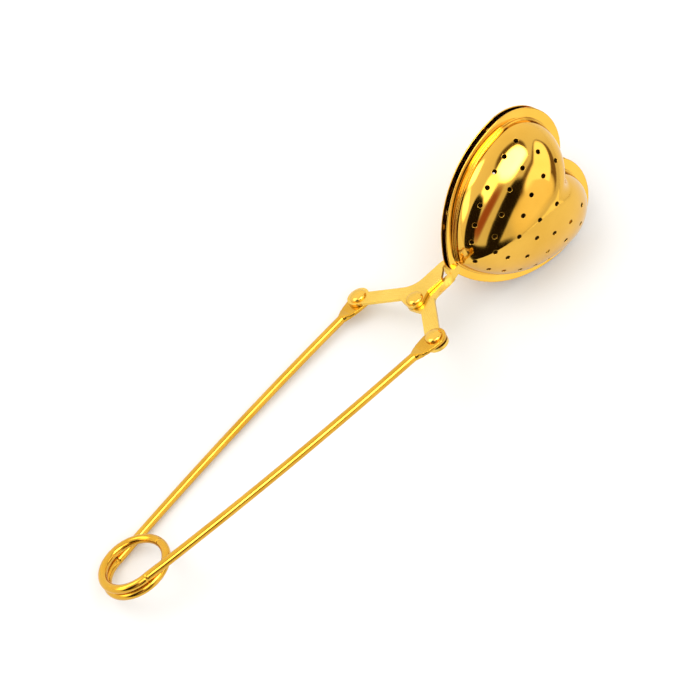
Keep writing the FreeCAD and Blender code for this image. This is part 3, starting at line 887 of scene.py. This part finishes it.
def card(name, direction, distance, width, height, colour, roll, soft):
    """Glowing or dark card with rounded soft edges that only shows in reflections."""
    mat = bpy.data.materials.new(name)
    mat.use_nodes = True
    nodes, links = mat.node_tree.nodes, mat.node_tree.links
    nodes.clear()
    coord = nodes.new("ShaderNodeTexCoord")
    split = nodes.new("ShaderNodeSeparateXYZ")
    links.new(coord.outputs["Generated"], split.inputs[0])
    powers = []
    for axis in (0, 1):
        off = shader_math(nodes, links, "SUBTRACT", split.outputs[axis], 0.5)
        size = shader_math(nodes, links, "ABSOLUTE", off, 0.0)
        twice = shader_math(nodes, links, "MULTIPLY", size, 2.0)
        powers.append(shader_math(nodes, links, "POWER", twice, CARD_POWER))
    total = shader_math(nodes, links, "ADD", powers[0], powers[1])
    span = nodes.new("ShaderNodeMapRange")
    span.interpolation_type = "SMOOTHSTEP"
    span.inputs["From Min"].default_value = (1.0 - soft) ** CARD_POWER
    links.new(total, span.inputs["Value"])
    clear = nodes.new("ShaderNodeBsdfTransparent")
    glow = nodes.new("ShaderNodeEmission")
    glow.inputs["Color"].default_value = (*colour, 1.0)
    mixed = nodes.new("ShaderNodeMixShader")
    links.new(span.outputs[0], mixed.inputs[0])
    links.new(glow.outputs[0], mixed.inputs[1])
    links.new(clear.outputs[0], mixed.inputs[2])
    out = nodes.new("ShaderNodeOutputMaterial")
    links.new(mixed.outputs[0], out.inputs["Surface"])
    w, h = width / 2, height / 2
    mesh = bpy.data.meshes.new(name)
    mesh.from_pydata([(-w, -h, 0), (w, -h, 0), (w, h, 0), (-w, h, 0)], [], [(0, 1, 2, 3)])
    mesh.materials.append(mat)
    obj = bpy.data.objects.new(name, mesh)
    obj.matrix_world = face_heart(direction, distance, roll)
    bpy.context.scene.collection.objects.link(obj)
    obj.visible_camera = False
    obj.visible_diffuse = False
    obj.visible_shadow = False
    obj.visible_transmission = False


def make_floor():
    """Large matt white table."""
    mat, nodes, links, bsdf = new_material("white_table")
    bsdf.inputs["Roughness"].default_value = 0.9
    place = nodes.new("ShaderNodeTexCoord").outputs["Object"]
    tint = ramp(nodes, 0.3, 0.7, (0.925, 0.95, 0.985), (0.945, 0.97, 1.0))
    links.new(noise(nodes, links, place, scale=6.0, detail=2.0), tint.inputs["Fac"])
    links.new(tint.outputs["Color"], bsdf.inputs["Base Color"])
    mesh = bpy.data.meshes.new("table")
    half = 8.0
    mesh.from_pydata([(-half, -half, 0), (half, -half, 0), (half, half, 0), (-half, half, 0)],
                     [], [(0, 1, 2, 3)])
    mesh.materials.append(mat)
    obj = bpy.data.objects.new("table", mesh)
    bpy.context.scene.collection.objects.link(obj)


def make_world():
    """Soft white room, brighter towards the key side."""
    world = bpy.data.worlds.new("room")
    bpy.context.scene.world = world
    world.use_nodes = True
    nodes, links = world.node_tree.nodes, world.node_tree.links
    back = nodes["Background"]
    coord = nodes.new("ShaderNodeTexCoord")
    dot = nodes.new("ShaderNodeVectorMath")
    dot.operation = "DOT_PRODUCT"
    dot.inputs[1].default_value = aim(80.0, 5.0)
    links.new(coord.outputs["Generated"], dot.inputs[0])
    span = nodes.new("ShaderNodeMapRange")
    span.inputs["From Min"].default_value = -0.6
    span.inputs["From Max"].default_value = 1.0
    span.inputs["To Min"].default_value = 0.9
    span.inputs["To Max"].default_value = 1.3
    links.new(dot.outputs["Value"], span.inputs["Value"])
    links.new(span.outputs["Result"], back.inputs["Strength"])
    back.inputs["Color"].default_value = (1.0, 0.965, 0.91, 1.0)


DARK = (0.015, 0.010, 0.008)
WARM_DARK = (0.22, 0.14, 0.08)
PALE = (3.2, 3.1, 2.6)
# Cards: name, direction, distance, width and height in m, colour, roll in degrees, softness.
CARDS = (
    ("overhead", Vector((0.02, -0.19, 0.98)).normalized(), 1.5, 1.1, 1.05, (8.0, 8.0, 7.4), 20.0, 0.5),
    ("overhead_frame", Vector((0.06, -0.08, 0.99)).normalized(), 1.6, 1.5, 1.4, (0.16, 0.10, 0.06),
     20.0, 0.3),
    ("upper_left", aim(-163.0, 62.0), 1.45, 0.7, 0.8, PALE, 0.0, 0.7),
    ("window", aim(-50.0, 37.0), 1.5, 1.9, 0.85, (1.85, 1.82, 1.6), 0.0, 0.2),
    ("window_low", aim(-78.0, 24.0), 1.55, 1.5, 0.95, (1.30, 1.20, 0.95), 10.0, 0.5),
    ("window_frame", aim(-55.0, 33.0), 1.65, 2.7, 1.45, WARM_DARK, 0.0, 0.15),
    ("left_panel", aim(120.0, 27.0), 1.5, 0.75, 0.8, (5.0, 4.9, 4.3), 0.0, 0.5),
    ("left_panel_low", aim(150.0, 19.0), 1.5, 0.9, 0.7, PALE, 0.0, 0.5),
    ("left_dark", aim(-170.0, 25.0), 1.2, 0.66, 1.4, DARK, 8.0, 0.2),
    ("middle_dark", aim(-112.0, 33.0), 1.2, 0.42, 1.35, DARK, -35.0, 0.2),
    ("low_dark", aim(-136.0, 8.0), 1.2, 1.9, 0.36, DARK, 4.0, 0.25),
    ("red_streak", aim(-143.0, 40.0), 1.15, 0.34, 1.3, (0.40, 0.12, 0.07), -25.0, 0.7),
    ("front_glow", aim(-72.0, 1.5), 1.7, 1.2, 0.30, (1.45, 1.45, 1.3), 0.0, 0.4),
)

make_floor()
make_world()
softbox("key_wash", aim(125.0, 55.0), distance=1.2, width=0.6, height=0.6, radiance=2.6)
for settings in CARDS:
    card(*settings)

# ---------------------------------------------------------------- camera
CAMERA_SPOT = Vector((-209.82, -119.81, 665.38)) * MM
CAMERA_TURN = (19.864, -5.694, -45.142)     # degrees about X, Y and Z
CAMERA_LENS, CAMERA_SENSOR = 134.04, 36.0   # mm
CLIP_START = 0.01

camera_data = bpy.data.cameras.new("camera")
camera_data.sensor_width = CAMERA_SENSOR
camera_data.lens = CAMERA_LENS
camera_data.clip_start = CLIP_START
camera = bpy.data.objects.new("camera", camera_data)
camera.location = CAMERA_SPOT
camera.rotation_euler = [math.radians(a) for a in CAMERA_TURN]
bpy.context.scene.collection.objects.link(camera)
bpy.context.scene.camera = camera
bpy.context.scene.view_settings.view_transform = "Standard"
